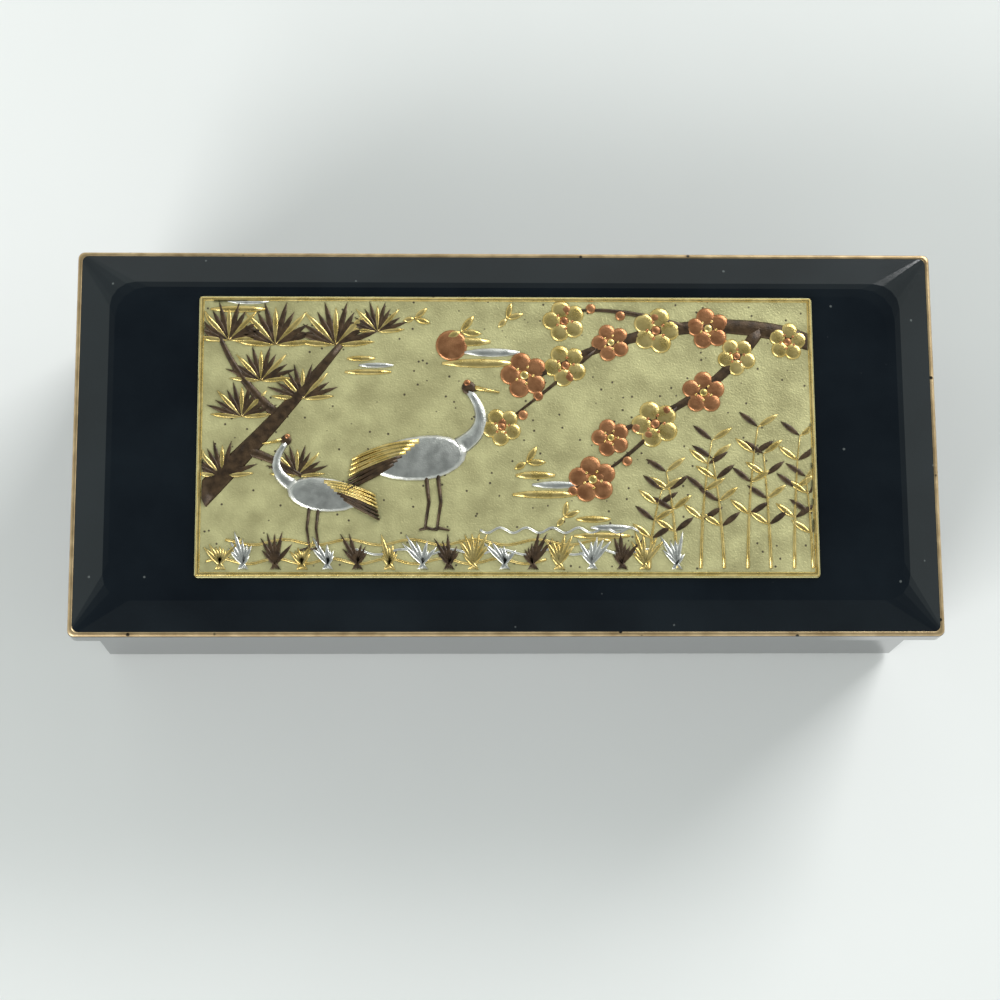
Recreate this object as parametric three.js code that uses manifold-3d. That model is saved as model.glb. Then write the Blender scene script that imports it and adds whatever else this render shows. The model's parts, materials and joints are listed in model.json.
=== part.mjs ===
// A lacquered music box: a bevelled lid that carries an engraved metal plate, a velvet-lined case
// with a ring cushion, and an eighteen-note movement in a bay of its own under a clear cover.
// Millimetres, +Z up. The origin is on the surface that the box stands on, under the middle of the lid.
// The front is towards -Y and the movement's bay is at the right-hand end.

import * as THREE from 'three';
import { mergeVertices } from 'three/addons/utils/BufferGeometryUtils.js';
import Module from 'manifold-3d';

// Lid
const lidWidth = 186.6;
const lidDepth = 85;
const lidSkirt = 5.7;
const lidOverhang = 3.6;
const bevelWidth = 8.6;
const bevelRise = 2.3;
const goldLine = 1.1;
const lidCornerRadius = 1.4;
const bevelCornerRadius = 7;
const lidRecess = 2.4;
const lidRecessMargin = 0.6;
const plateWidth = 133;
const plateDepth = 62;
const plateThickness = 1.1;
const plateSink = 0.5;
const plateOffset = 0.7;
const mirrorWidth = 117.4;
const mirrorDepth = 49.4;
const mirrorThickness = 1.8;
const liningThickness = 1.6;

// Case
const wallThickness = 6;
const wallHeight = 40.8;
const padThickness = 1;
const padRadius = 2.6;
const padInset = 4;
const lidGap = 0.2;
const keyRecess = 11;
const boardThickness = 3;
const grooveDepth = 2;
const linerThickness = 1.2;
const rimDrop = 1.5;

// Bays inside the case
const bayWidth = 46;
const partitionThickness = 3;
const coverThickness = 2;
const ringBayWidth = 33;
const dividerThickness = 2.4;
const dividerHeight = 17;
const cushionHeight = 15;
const cushionRolls = 4;

// Hinges
const hingeSpacing = 110;
const leafLength = 16;
const leafWidth = 5.6;
const leafThickness = 0.8;
const knuckleRadius = 1.5;
const hingePinRadius = 0.6;
const hingeOffset = 0.6;
const hingeScrewSpacing = 9.6;
const hingeScrewRadius = 0.55;
const hingeScrewHead = 1.25;
const hingeScrewLength = 4.5;

// Movement: bedplate, and its distance from the bay's liner
const movementSideGap = 3.1;
const movementBackGap = 0.6;
const bedBack = -15;
const bedFront = 38.6;
const bedCombSide = -25.8;
const bedDrumSide = 11.9;
const bedThickness = 1.8;
const bedScrewRadius = 1.2;
const bedScrewHead = 2.6;
const bedBossRadius = 2.7;
const bedBossHeight = 5.6;

// Movement: pinned cylinder and comb
const axisHeight = 14.5;
const cylinderRadius = 6.5;
const cylinderLength = 17.4;
const arborRadius = 0.9;
const pinHeight = 0.9;
const pinWidth = 0.36;
const pinSteps = 64;
const toothCount = 18;
const toothPitch = 0.9;
const toothSlot = 0.3;
const toothThickness = 0.9;
const longestTooth = 12.6;
const shortestTooth = 8;
const combBase = 5;
const combBaseThickness = 1.8;
const combScrewRadius = 1;
const combScrewHead = 1.9;

// Movement: spring barrel, winding arbor and key
const barrelRadius = 11;
const barrelWall = 0.8;
const barrelLift = 4;
const windRadius = 2;
const crownTeeth = 48;
const crownPinionTeeth = 12;
const crownModule = 0.4;
const crownFace = 2;
const springTurns = 7;
const springStrip = 0.35;
const ratchetTeeth = 12;
const ratchetRadius = 5;
const ratchetDepth = 0.9;
const ratchetThickness = 1.2;
const clickPivot = 8.2;
const keySpan = 20;
const keyHeight = 8.4;
const keyThickness = 2.2;
const keyHubRadius = 3.4;

// Movement: governor train
const drumGearTeeth = 42;
const firstPinionTeeth = 8;
const drumGearModule = 0.35;
const drumGearFace = 1.6;
const firstWheelTeeth = 36;
const secondPinionTeeth = 8;
const firstWheelModule = 0.3;
const wheelFace = 1.2;
const wormWheelTeeth = 24;
const wormModule = 0.4;
const wormRadius = 1.6;
const wormTurns = 4.5;
const wormWheelFace = 1;
const fanRadius = 3.6;
const fanHeight = 3.4;
const brakeDiscRadius = 2.4;
const stopRodRadius = 0.6;
const stopRodTravel = 0.8;
const shaftRadius = 0.6;
const framePlate = 1.2;
const slotWidth = 0.36;

// Clearances
const seat = 0.1;
const running = 0.15;
const meshGap = 0.1;
const resting = 0.05;
const clear = 0.3;

// Materials
function finish(color, roughness, metalness) {
  return new THREE.MeshStandardMaterial({ color, roughness, metalness });
}
const lacquer = finish(0x07090f, 0.12, 0);
const engraved = finish(0xc9bd83, 0.42, 0.85);
const brass = finish(0xc79a45, 0.3, 0.9);
const steel = finish(0xb9bcc0, 0.3, 0.95);
const castMetal = finish(0xa9abad, 0.55, 0.8);
const silvered = finish(0xdfe4e6, 0.03, 1);
const velvet = finish(0x6d0f1d, 0.95, 0);
const rawBoard = finish(0x2a2320, 0.8, 0);
const felt = finish(0x1d2a22, 0.98, 0);
const acrylic = finish(0xe8eef0, 0.06, 0);
const nylon = finish(0xe9e4d4, 0.5, 0);

// Derived levels and faces of the case
const wallTop = padThickness + wallHeight;
const lidBottom = wallTop + lidGap;
const lidArris = lidBottom + lidSkirt;
const lidTop = lidArris + bevelRise;
const caseHalfWidth = lidWidth / 2 - lidOverhang;
const caseHalfDepth = lidDepth / 2 - lidOverhang;
const roomHalfWidth = caseHalfWidth - wallThickness;
const roomHalfDepth = caseHalfDepth - wallThickness;
const boardBottom = padThickness + keyRecess;
const boardTop = boardBottom + boardThickness;
const rim = wallTop - rimDrop;
const bayLeft = roomHalfWidth - bayWidth;
const partitionLeft = bayLeft - partitionThickness;
const keyAxisX = roomHalfWidth - seat - linerThickness - movementSideGap - bedDrumSide;
const keyAxisY = roomHalfDepth - seat - linerThickness - movementBackGap + bedBack;
const hingeY = caseHalfDepth + hingeOffset;
const hingeZ = lidBottom;

const wasm = await Module();
wasm.setup();

// A closed geometry as a solid that can be joined and cut.
function solid(geometry) {
  const bare = geometry.clone();
  bare.deleteAttribute('normal');
  bare.deleteAttribute('uv');
  const merged = mergeVertices(bare, 1e-4);
  return new wasm.Manifold(new wasm.Mesh({
    numProp: 3,
    vertProperties: merged.attributes.position.array,
    triVerts: new Uint32Array(merged.index.array),
  }));
}

// A solid back as a geometry for a mesh.
function geometryOf(body) {
  const made = body.getMesh();
  const positions = new Float32Array(made.numVert * 3);
  for (let i = 0; i < made.numVert; i++) {
    const start = i * made.numProp;
    positions.set(made.vertProperties.subarray(start, start + 3), i * 3);
  }
  const geometry = new THREE.BufferGeometry();
  geometry.setAttribute('position', new THREE.BufferAttribute(positions, 3));
  geometry.setIndex(new THREE.BufferAttribute(made.triVerts, 1));
  const faceted = geometry.toNonIndexed();
  faceted.computeVertexNormals();
  return faceted;
}

function join(first, ...others) {
  return others.reduce((whole, next) => whole.add(next), first);
}

function cut(first, ...others) {
  return others.reduce((whole, next) => whole.subtract(next), first);
}

function piece(name, body, material, parent) {
  const mesh = new THREE.Mesh(geometryOf(body), material);
  mesh.name = name;
  parent.add(mesh);
}

// A block between two corners.
function block(x0, x1, y0, y1, z0, z1) {
  const geometry = new THREE.BoxGeometry(x1 - x0, y1 - y0, z1 - z0);
  geometry.translate((x0 + x1) / 2, (y0 + y1) / 2, (z0 + z1) / 2);
  return solid(geometry);
}

// An outline in the XY plane, as [x, y] pairs, drawn up from z0 to z1.
function prism(outline, z0, z1) {
  const shape = new THREE.Shape(outline.map(([x, y]) => new THREE.Vector2(x, y)));
  const geometry = new THREE.ExtrudeGeometry(shape, { depth: z1 - z0, bevelEnabled: false });
  geometry.translate(0, 0, z0);
  return solid(geometry);
}

// Turns a solid so that what stood along Z lies along X, its local X along Y and its local Y along Z.
function layAlongX(body) {
  return body.transform([0, 1, 0, 0, 0, 0, 1, 0, 1, 0, 0, 0, 0, 0, 0, 1]);
}

// An outline in the YZ plane, as [y, z] pairs, drawn along X from x0 to x1.
function prismX(outline, x0, x1) {
  return layAlongX(prism(outline, x0, x1));
}

// A round bar along Z at x, y. The sides are the facets of its outline.
function bar(radius, z0, z1, x = 0, y = 0, sides = 16) {
  const geometry = new THREE.CylinderGeometry(radius, radius, z1 - z0, sides);
  geometry.rotateX(Math.PI / 2);
  geometry.translate(x, y, (z0 + z1) / 2);
  return solid(geometry);
}

// A round bar along X at y, z.
function barX(radius, x0, x1, y = 0, z = 0, sides = 16) {
  const geometry = new THREE.CylinderGeometry(radius, radius, x1 - x0, sides);
  geometry.rotateZ(-Math.PI / 2);
  geometry.translate((x0 + x1) / 2, y, z);
  return solid(geometry);
}

// A turned piece about Z, from a profile of [radius, height] pairs that starts and ends on the axis.
function turned(profile, sides = 16) {
  const points = profile.map(([radius, height]) => new THREE.Vector2(radius, height));
  const geometry = new THREE.LatheGeometry(points, sides);
  geometry.rotateX(Math.PI / 2);
  return solid(geometry);
}

// A skin through rings of equal length, each a list of [x, y, z], with flat convex ends.
function loft(rings) {
  const count = rings[0].length;
  const positions = new Float32Array(rings.flat(2));
  const faces = [];
  for (let r = 0; r + 1 < rings.length; r++) {
    for (let i = 0; i < count; i++) {
      const a = r * count + i;
      const b = r * count + (i + 1) % count;
      faces.push(a, b, b + count, a, b + count, a + count);
    }
  }
  const last = (rings.length - 1) * count;
  for (let i = 1; i + 1 < count; i++) {
    faces.push(0, i + 1, i, last, last + i, last + i + 1);
  }
  const geometry = new THREE.BufferGeometry();
  geometry.setAttribute('position', new THREE.BufferAttribute(positions, 3));
  geometry.setIndex(faces);
  return solid(geometry);
}

// A rectangle with rounded corners, as [x, y, z] points anticlockwise from above.
function roundedRing(width, depth, radius, z, y = 0, steps = 4) {
  const ring = [];
  for (let corner = 0; corner < 4; corner++) {
    const sx = corner === 0 || corner === 3 ? 1 : -1;
    const sy = corner < 2 ? 1 : -1;
    for (let i = 0; i <= steps; i++) {
      const angle = (corner + i / steps) * Math.PI / 2;
      ring.push([
        sx * (width / 2 - radius) + radius * Math.cos(angle),
        y + sy * (depth / 2 - radius) + radius * Math.sin(angle),
        z,
      ]);
    }
  }
  return ring;
}

// The body of a countersunk or cheese-headed screw: its head's top is at z = 0 and its shank points down.
function screwBody(shankRadius, headRadius, headHeight, length, countersunk) {
  const profile = [[0, -length], [shankRadius * 0.6, -length], [shankRadius, -length + shankRadius]];
  profile.push([shankRadius, -headHeight]);
  if (!countersunk) profile.push([headRadius, -headHeight]);
  profile.push([headRadius, countersunk ? -0.12 : -0.2]);
  profile.push([headRadius * 0.92, 0], [0, 0]);
  return turned(profile, 12);
}

// The same screw with the slot for its driver.
function screw(shankRadius, headRadius, headHeight, length, countersunk) {
  const slot = block(-headRadius - 1, headRadius + 1, -slotWidth / 2, slotWidth / 2, -headHeight * 0.4, 1);
  return cut(screwBody(shankRadius, headRadius, headHeight, length, countersunk), slot);
}

// The outline of a spur gear with involute flanks. A tooth stands at the angle given by phase.
function gearOutline(teeth, module, { shift = 0, addendum = 1, dedendum = 1.25, play = 0.1, phase = 0, steps = 2 }) {
  const pressure = THREE.MathUtils.degToRad(20);
  const pitch = teeth * module / 2;
  const base = pitch * Math.cos(pressure);
  const tip = pitch + (addendum + shift) * module;
  const root = pitch - (dedendum - shift) * module;
  const involute = (angle) => Math.tan(angle) - angle;
  const atPitch = Math.PI / (2 * teeth) + 2 * shift * Math.tan(pressure) / teeth - play / (2 * pitch);
  const halfAngle = (radius) => {
    const slope = radius > base ? Math.acos(base / radius) : 0;
    return atPitch + involute(pressure) - involute(slope);
  };
  const start = Math.max(root, base);
  const flank = [];
  for (let i = 0; i <= steps; i++) {
    const radius = start + (tip - start) * i / steps;
    flank.push([radius, halfAngle(radius)]);
  }
  if (root < base - 1e-6) flank.unshift([root, halfAngle(base)]);
  const outline = [];
  for (let tooth = 0; tooth < teeth; tooth++) {
    const middle = phase + tooth * 2 * Math.PI / teeth;
    for (const [radius, half] of flank) {
      outline.push([radius * Math.cos(middle - half), radius * Math.sin(middle - half)]);
    }
    for (const [radius, half] of [...flank].reverse()) {
      outline.push([radius * Math.cos(middle + half), radius * Math.sin(middle + half)]);
    }
  }
  return outline;
}

function shifted(outline, dx, dy) {
  return outline.map(([x, y]) => [x + dx, y + dy]);
}

const musicBox = new THREE.Group();

// The movement's own frame: X runs along the cylinder from the barrel to the governor, Y points from
// the comb to the cylinder, and the key's axis is at its origin on the top of the bottom board.
const movement = new THREE.Group();
movement.position.set(keyAxisX, keyAxisY, boardTop);
movement.rotation.z = -Math.PI / 2;
musicBox.add(movement);

// Where a point of the movement lies in the case.
function inCase(x, y) {
  return [keyAxisX + y, keyAxisY - x];
}

// Screws that hold the bedplate down, in the movement's frame.
const bedScrews = [
  [bedBack + bedBossRadius + 0.6, bedDrumSide - bedBossRadius + 0.3],
  [bedFront - bedBossRadius, bedDrumSide - bedBossRadius - 0.6],
  [bedBack + bedBossRadius + 2, bedCombSide + bedBossRadius + 1],
];

// Four mitred boards, grooved inside for the bottom board
function caseWall(side) {
  const alongX = side === 'front' || side === 'back';
  const outerHalf = alongX ? caseHalfWidth : caseHalfDepth;
  const innerHalf = outerHalf - wallThickness;
  const face = alongX ? caseHalfDepth : caseHalfWidth;
  const plan = [[-outerHalf, face], [-innerHalf, face - wallThickness],
    [innerHalf, face - wallThickness], [outerHalf, face]];
  const board = prism(plan, padThickness, wallTop);
  const reach = innerHalf + grooveDepth;
  const groove = block(-reach, reach, face - wallThickness - 1, face - wallThickness + grooveDepth,
    boardBottom - seat, boardTop + seat);
  const turn = { back: 0, left: 90, front: 180, right: 270 }[side];
  return cut(board, groove).rotate([0, 0, turn]);
}

// Where the hinge leaves and knuckles are let into the wall and the lid, for one hinge.
function hingeSinking(x, upward) {
  const half = leafLength / 2 + running;
  const depth = leafThickness + running;
  const leaf = upward
    ? block(x - half, x + half, hingeY - leafWidth - running, hingeY, hingeZ - 1, hingeZ + depth)
    : block(x - half, x + half, hingeY - leafWidth - running, hingeY, hingeZ - depth, hingeZ + 1);
  return leaf.add(barX(knuckleRadius + clear, x - half, x + half, hingeY, hingeZ));
}

const hingeXs = [-hingeSpacing / 2, hingeSpacing / 2];
const hingeScrewY = hingeY - knuckleRadius - (leafWidth - knuckleRadius) / 2;

// The pilot holes of one hinge's screws, upwards into the lid or downwards into the wall.
function hingePilots(x, upward) {
  const end = upward ? hingeZ + hingeScrewLength + clear : hingeZ - hingeScrewLength - clear;
  const radius = hingeScrewRadius + running;
  return [-1, 1].map((side) => bar(radius, Math.min(end, hingeZ), Math.max(end, hingeZ),
    x + side * hingeScrewSpacing / 2, hingeScrewY, 8));
}

function backWall() {
  let wall = caseWall('back');
  for (const x of hingeXs) wall = cut(wall, hingeSinking(x, false), ...hingePilots(x, false));
  return wall;
}

function bottomBoard() {
  const reach = grooveDepth - clear;
  const board = block(-roomHalfWidth - reach, roomHalfWidth + reach,
    -roomHalfDepth - reach, roomHalfDepth + reach, boardBottom, boardTop);
  const [keyX, keyY] = inCase(0, 0);
  const holes = [bar(windRadius + 1.6, boardBottom - 1, boardTop + 1, keyX, keyY, 20)];
  for (const [x, y] of bedScrews) {
    const [holeX, holeY] = inCase(x, y);
    holes.push(bar(bedScrewRadius + clear, boardBottom - 1, boardTop + 1, holeX, holeY, 12));
  }
  return cut(board, ...holes);
}

piece('front_wall', caseWall('front'), lacquer, musicBox);
piece('back_wall', backWall(), lacquer, musicBox);
piece('left_wall', caseWall('left'), lacquer, musicBox);
piece('right_wall', caseWall('right'), lacquer, musicBox);
piece('bottom_board', bottomBoard(), rawBoard, musicBox);

// Felt pads under the wall corners
for (const [name, sx, sy] of [['front_left', -1, -1], ['front_right', 1, -1],
  ['back_left', -1, 1], ['back_right', 1, 1]]) {
  const pad = bar(padRadius, 0, padThickness,
    sx * (caseHalfWidth - padInset), sy * (caseHalfDepth - padInset), 16);
  piece('foot_pad_' + name, pad, felt, musicBox);
}

// The partition between the jewel tray and the movement
piece('partition', block(partitionLeft, bayLeft, -roomHalfDepth + seat, roomHalfDepth - seat,
  boardTop, rim), velvet, musicBox);

// A card box covered in velvet that lines the jewel tray
function trayLiner() {
  const x0 = -roomHalfWidth + seat;
  const x1 = partitionLeft - seat;
  const y1 = roomHalfDepth - seat;
  const outside = block(x0, x1, -y1, y1, boardTop, rim);
  const inside = block(x0 + linerThickness, x1 - linerThickness, -y1 + linerThickness, y1 - linerThickness,
    boardTop + linerThickness, rim + 1);
  return cut(outside, inside);
}
const trayFloor = boardTop + linerThickness;
const trayLeft = -roomHalfWidth + seat + linerThickness;
const trayHalfDepth = roomHalfDepth - seat - linerThickness;
piece('tray_liner', trayLiner(), velvet, musicBox);

// The board that keeps the ring cushion apart from the open tray
const dividerLeft = trayLeft + ringBayWidth;
piece('tray_divider', block(dividerLeft, dividerLeft + dividerThickness, -trayHalfDepth + clear,
  trayHalfDepth - clear, trayFloor, trayFloor + dividerHeight), velvet, musicBox);

// The ring cushion: soft rolls side by side, each crowned along its length, with a slit between them
function ringCushion() {
  const left = trayLeft + clear;
  const width = ringBayWidth - 2 * clear;
  const rollWidth = width / cushionRolls;
  const halfLength = trayHalfDepth - clear;
  const slitDepth = 6;
  const stepsAcross = 6;
  const rings = [];
  for (let end = -5; end <= 5; end++) {
    const along = end / 5;
    const crown = 1 - 0.16 * along ** 4;
    const pull = 0.5 * (1 - along ** 2);
    const ring = [[left, along * halfLength, trayFloor], [left + width, along * halfLength, trayFloor]];
    ring.push([left + width - 0.1 * pull, along * halfLength, trayFloor + (cushionHeight - slitDepth) * crown]);
    for (let roll = cushionRolls - 1; roll >= 0; roll--) {
      for (let i = roll === cushionRolls - 1 ? 1 : 0; i < stepsAcross; i++) {
        const across = 1 - i / stepsAcross;
        const lift = Math.sqrt(Math.max(0, 1 - (2 * across - 1) ** 2));
        ring.push([left + (roll + across) * rollWidth, along * halfLength,
          trayFloor + (cushionHeight - slitDepth * (1 - lift)) * crown]);
      }
    }
    ring.push([left + 0.1 * pull, along * halfLength, trayFloor + (cushionHeight - slitDepth) * crown]);
    rings.push(ring);
  }
  return rings;
}

// Draws the cushion's rings together; its ends are not convex, so they are cut into ears.
function ringsToSolid(rings) {
  const count = rings[0].length;
  const flat = rings[0].map(([x, , z]) => new THREE.Vector2(x, z));
  const ears = THREE.ShapeUtils.triangulateShape(flat, []);
  const faces = [];
  for (let r = 0; r + 1 < rings.length; r++) {
    for (let i = 0; i < count; i++) {
      const a = r * count + i;
      const b = r * count + (i + 1) % count;
      faces.push(a, b + count, b, a, a + count, b + count);
    }
  }
  const last = (rings.length - 1) * count;
  for (const [a, b, c] of ears) faces.push(a, b, c, last + a, last + c, last + b);
  const geometry = new THREE.BufferGeometry();
  geometry.setAttribute('position', new THREE.BufferAttribute(new Float32Array(rings.flat(2)), 3));
  geometry.setIndex(faces);
  return solid(geometry);
}
piece('ring_cushion', ringsToSolid(ringCushion()), velvet, musicBox);

// The card frame that lines the movement's bay and carries its clear cover
const coverBottom = rim - coverThickness;
function bayLiner() {
  const x0 = bayLeft + seat;
  const x1 = roomHalfWidth - seat;
  const y1 = roomHalfDepth - seat;
  const outside = block(x0, x1, -y1, y1, boardTop, coverBottom - seat);
  const inside = block(x0 + linerThickness, x1 - linerThickness, -y1 + linerThickness, y1 - linerThickness,
    boardTop - 1, coverBottom + 1);
  return cut(outside, inside);
}
piece('bay_liner', bayLiner(), velvet, musicBox);

// Places along the cylinder's axis, in the movement's frame
const drumStart = barrelRadius + 1.2;
const drumEnd = drumStart + cylinderLength;
const drumGearStart = drumEnd + 0.2;
const firstWheelStart = drumGearStart + drumGearFace + 0.8;
const wormWheelStart = firstWheelStart + wheelFace + 0.8;
const wormX = wormWheelStart + wormWheelFace / 2;
const framePlateStart = wormX + wormRadius + wormModule + clear;
const innerPlateStart = drumEnd - 2.4;

// First and second arbors of the train, by their centre distances, and the worm beside the last wheel
const drumGearRadius = drumGearTeeth * drumGearModule / 2;
const firstDistance = drumGearRadius + firstPinionTeeth * drumGearModule / 2 + meshGap;
const firstDirection = THREE.MathUtils.degToRad(225);
const firstY = firstDistance * Math.cos(firstDirection);
const firstZ = axisHeight + firstDistance * Math.sin(firstDirection);
const secondDistance = (firstWheelTeeth + secondPinionTeeth) * firstWheelModule / 2 + meshGap;
const secondDirection = THREE.MathUtils.degToRad(165);
const secondY = firstY + secondDistance * Math.cos(secondDirection);
const secondZ = firstZ + secondDistance * Math.sin(secondDirection);
const wormWheelRadius = wormWheelTeeth * wormModule / 2;
const wormY = secondY - wormWheelRadius - wormRadius - meshGap;
const fanBottom = secondZ + wormWheelRadius + wormModule + 0.5;
const fanTop = fanBottom + fanHeight;
const brakeDiscTop = fanTop + 0.6;
const armBottom = brakeDiscTop + clear;
const armTop = armBottom + framePlate;

// The stop rod stands beside the fan; the closed lid holds it down.
const stopRodX = wormX - 2.5;
const stopRodY = wormY - 4.6;
const stopRodTop = lidBottom + lidRecess - seat - mirrorThickness - clear - stopRodTravel - boardTop;

// The clear cover over the movement, with a hole for the push rod and a thumb notch
function clearCover() {
  const sheet = block(bayLeft + clear, roomHalfWidth - clear, -roomHalfDepth + clear,
    roomHalfDepth - clear, coverBottom, rim);
  const [rodX, rodY] = inCase(stopRodX, stopRodY);
  const hole = bar(2.2, coverBottom - 1, rim + 1, rodX, rodY, 16);
  const notch = bar(6, coverBottom - 1, rim + 1, bayLeft, -roomHalfDepth * 0.3, 24);
  return cut(sheet, hole, notch);
}
piece('clear_cover', clearCover(), acrylic, musicBox);

// The lid board: a plain side band, the arris that takes the gold line, and a shallow bevel
function lidBoard() {
  const ring = (inset, radius, z) => roundedRing(lidWidth - 2 * inset, lidDepth - 2 * inset, radius, z);
  let board = loft([
    ring(0.4, lidCornerRadius, lidBottom),
    ring(0, lidCornerRadius, lidBottom + 0.4),
    ring(0, lidCornerRadius, lidArris - 0.6),
    ring(0.18, lidCornerRadius, lidArris - 0.18),
    ring(0.6, lidCornerRadius, lidArris),
    ring(goldLine, lidCornerRadius, lidArris + 0.1),
    ring(bevelWidth - 1.2, bevelCornerRadius * 0.8, lidTop - 0.22),
    ring(bevelWidth, bevelCornerRadius, lidTop - 0.07),
    ring(bevelWidth + 1.8, bevelCornerRadius, lidTop),
  ]);
  const halfWidth = roomHalfWidth - lidRecessMargin;
  const halfDepth = roomHalfDepth - lidRecessMargin;
  board = cut(board,
    block(-halfWidth, halfWidth, -halfDepth, halfDepth, lidBottom - 1, lidBottom + lidRecess),
    loft([
      roundedRing(plateWidth + 2 * seat, plateDepth + 2 * seat, 0.8, lidTop - plateSink, plateOffset),
      roundedRing(plateWidth + 2 * seat, plateDepth + 2 * seat, 0.8, lidTop + 1, plateOffset),
    ]));
  for (const x of hingeXs) board = cut(board, hingeSinking(x, true), ...hingePilots(x, true));
  return board;
}
piece('lid_board', lidBoard(), lacquer, musicBox);

// The engraved plate, its upper edge softened
const plateBottom = lidTop - plateSink;
piece('engraved_plate', loft([
  roundedRing(plateWidth, plateDepth, 0.8, plateBottom, plateOffset),
  roundedRing(plateWidth, plateDepth, 0.8, plateBottom + plateThickness - 0.4, plateOffset),
  roundedRing(plateWidth - 0.8, plateDepth - 0.8, 0.5, plateBottom + plateThickness, plateOffset),
]), engraved, musicBox);

// The velvet-covered card inside the lid, and the mirror in its window
const liningTop = lidBottom + lidRecess - seat;
function lidLining() {
  const halfWidth = roomHalfWidth - lidRecessMargin - seat;
  const halfDepth = roomHalfDepth - lidRecessMargin - seat;
  const card = block(-halfWidth, halfWidth, -halfDepth, halfDepth, liningTop - liningThickness, liningTop);
  const window = block(-mirrorWidth / 2 - clear, mirrorWidth / 2 + clear,
    -mirrorDepth / 2 - clear, mirrorDepth / 2 + clear, lidBottom - 1, liningTop + 1);
  return cut(card, window);
}
piece('lid_lining', lidLining(), velvet, musicBox);
piece('mirror', loft([
  roundedRing(mirrorWidth - 6, mirrorDepth - 6, 1.5, liningTop - mirrorThickness),
  roundedRing(mirrorWidth, mirrorDepth, 1.5, liningTop - mirrorThickness * 0.6),
  roundedRing(mirrorWidth, mirrorDepth, 1.5, liningTop),
]), silvered, musicBox);

// One leaf of a hinge. The case's leaf has the two outer knuckles and the pin that is riveted in them,
// and the lid's leaf has the middle knuckle, which turns on the pin.
function hingeLeaf(x, upward) {
  const third = leafLength / 3;
  const spans = upward
    ? [[-third / 2 + running / 2, third / 2 - running / 2]]
    : [[-leafLength / 2, -third / 2 - running / 2], [third / 2 + running / 2, leafLength / 2]];
  const others = upward
    ? [[-leafLength / 2 - 1, -third / 2 + running / 2], [third / 2 - running / 2, leafLength / 2 + 1]]
    : [[-third / 2 - running / 2, third / 2 + running / 2]];
  const near = upward ? hingeZ + 0.05 : hingeZ - 0.05 - leafThickness;
  let leaf = block(x - leafLength / 2, x + leafLength / 2, hingeY - leafWidth, hingeY,
    near, near + leafThickness);
  for (const [from, to] of others) {
    leaf = cut(leaf, barX(knuckleRadius + clear, x + from, x + to, hingeY, hingeZ));
  }
  for (const [from, to] of spans) {
    leaf = join(leaf, barX(knuckleRadius, x + from, x + to, hingeY, hingeZ));
  }
  leaf = upward
    ? cut(leaf, barX(hingePinRadius + running, x - leafLength, x + leafLength, hingeY, hingeZ, 12))
    : join(leaf, barX(hingePinRadius, x - leafLength / 2, x + leafLength / 2, hingeY, hingeZ, 12));
  for (const side of [-1, 1]) {
    const screwX = x + side * hingeScrewSpacing / 2;
    const sink = screwBody(hingeScrewRadius + seat, hingeScrewHead + seat, leafThickness, hingeScrewLength, true)
      .add(bar(hingeScrewHead + seat, -0.2, 1, 0, 0, 10));
    const placed = upward ? sink.rotate([180, 0, 0]) : sink;
    const face = upward ? near : near + leafThickness;
    leaf = cut(leaf, placed.translate([screwX, hingeScrewY, face]));
  }
  return leaf;
}

for (const [name, x] of [['left', hingeXs[0]], ['right', hingeXs[1]]]) {
  piece('case_hinge_leaf_' + name, hingeLeaf(x, false), brass, musicBox);
  piece('lid_hinge_leaf_' + name, hingeLeaf(x, true), brass, musicBox);
  for (const [place, side] of [['a', -1], ['b', 1]]) {
    const small = screw(hingeScrewRadius, hingeScrewHead, leafThickness, hingeScrewLength, true);
    const screwX = x + side * hingeScrewSpacing / 2;
    piece('case_hinge_screw_' + name + '_' + place,
      small.translate([screwX, hingeScrewY, hingeZ - 0.05]), brass, musicBox);
    piece('lid_hinge_screw_' + name + '_' + place,
      small.rotate([180, 0, 0]).translate([screwX, hingeScrewY, hingeZ + 0.05]), brass, musicBox);
  }
}

// Comb: tips just clear of the pins, longest tooth next to the barrel
const pinSweep = cylinderRadius + pinHeight;
const combTip = -pinSweep - 0.25;
const combWidth = toothCount * toothPitch;
const combStart = drumStart + (cylinderLength - combWidth) / 2;
const combRoot = combTip - longestTooth;
const combBack = combRoot - combBase;
const combMargin = 1.4;
const combScrewY = combRoot - combBase / 2;
const combScrewXs = [combStart + 2.2, combStart + combWidth - 2.2];
const combBottom = axisHeight - combBaseThickness / 2;

// The click stands behind a steep face of the ratchet wheel and turns on a pin in the bedplate.
const clickTooth = 180;
const clickPin = polar(clickPivot, clickTooth + 48);
const ratchetBottom = bedThickness + clear;

// A point at a radius and an angle in degrees.
function polar(radius, degrees) {
  const angle = THREE.MathUtils.degToRad(degrees);
  return [radius * Math.cos(angle), radius * Math.sin(angle)];
}

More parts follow.
